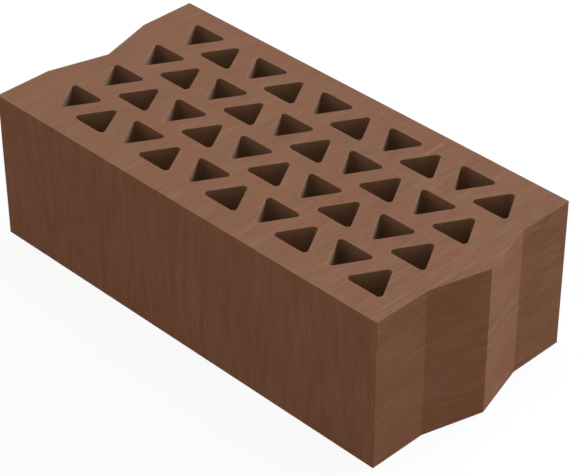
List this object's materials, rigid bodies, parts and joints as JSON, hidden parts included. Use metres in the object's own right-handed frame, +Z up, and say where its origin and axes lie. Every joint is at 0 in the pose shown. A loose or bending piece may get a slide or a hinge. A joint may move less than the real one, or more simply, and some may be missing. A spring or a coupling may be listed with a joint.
{
  "type": "acoustic brick",
  "caption": "Fired-clay acoustic brick with rows of alternating triangular through-cells, a V tongue on one end and a matching V groove in the other.",
  "frame": {"origin": "middle of the lower bed face, on the floor, halfway along the length over the tongue", "axes": "+X along the length towards the tongue, +Y across the width towards the back face, +Z up along the cells"},
  "size_m": [0.29, 0.14, 0.09],
  "materials": {
    "fired_clay": "matt fired clay, brown, with fine drag streaks"
  },
  "bodies": {
    "root": {"brick": "fired_clay"}
  },
  "joints": []
}
